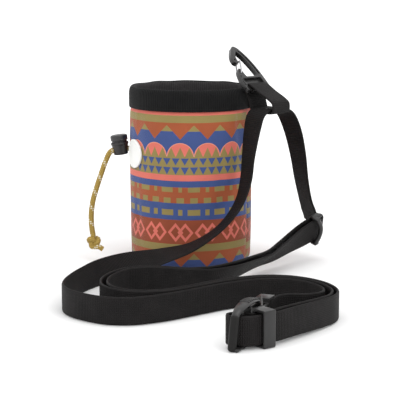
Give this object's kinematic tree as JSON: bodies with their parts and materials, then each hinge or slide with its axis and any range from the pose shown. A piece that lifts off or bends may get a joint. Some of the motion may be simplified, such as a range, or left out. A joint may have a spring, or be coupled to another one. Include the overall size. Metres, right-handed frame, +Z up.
{
  "type": "dog treat pouch",
  "caption": "Round fabric treat pouch with a ribbed collar, side cord with a push lock, and a webbing belt with snap hook, slider and side-release buckle laid out in front.",
  "frame": {"origin": "middle of the pouch's flat base, on the floor", "axes": "+Z up along the pouch, -Y to the side where the belt lies, +X to the side of the snap hook"},
  "size_m": [0.2032, 0.3526, 0.1766],
  "materials": {
    "print": "printed woven cloth, rust ground with blue, olive and coral bands",
    "webbing": "matt black ribbed webbing",
    "patch": "plain white rubber disc",
    "cord": "woven cord, golden with pale flecks",
    "plastic": "moulded black plastic",
    "steel": "bright wire"
  },
  "bodies": {
    "pouch": {"pouch_body": "print", "rim_collar": "webbing", "round_patch": "patch", "hang_loop": "webbing", "draw_cord": "cord", "cord_knot": "cord", "cord_lock_barrel": "plastic", "carabiner_body": "plastic", "carabiner_tab": "webbing", "belt_strap_left": "webbing", "belt_strap_right": "webbing", "belt_strap_doubled": "webbing", "buckle_male": "plastic", "buckle_female": "plastic", "strap_keeper": "plastic", "strap_slider": "plastic"},
    "gate": {"carabiner_gate": "steel"},
    "button": {"cord_lock_button": "plastic"}
  },
  "joints": [
    {"name": "hook_gate", "type": "hinge", "parent": "pouch", "child": "gate", "pos_m": [0.0401, -0.02122, 0.1557], "axis": [-0.4675, 0.4841, -0.7396], "range_deg": [0, 24], "stiffness_Nm_per_rad": 0.02, "springref_deg": -17.19},
    {"name": "lock_button", "type": "slide", "parent": "pouch", "child": "button", "axis": [0.1219, 0, -0.9925], "range_m": [0, 0.0014], "stiffness_N_per_m": 500, "springref_m": -0.001}
  ]
}
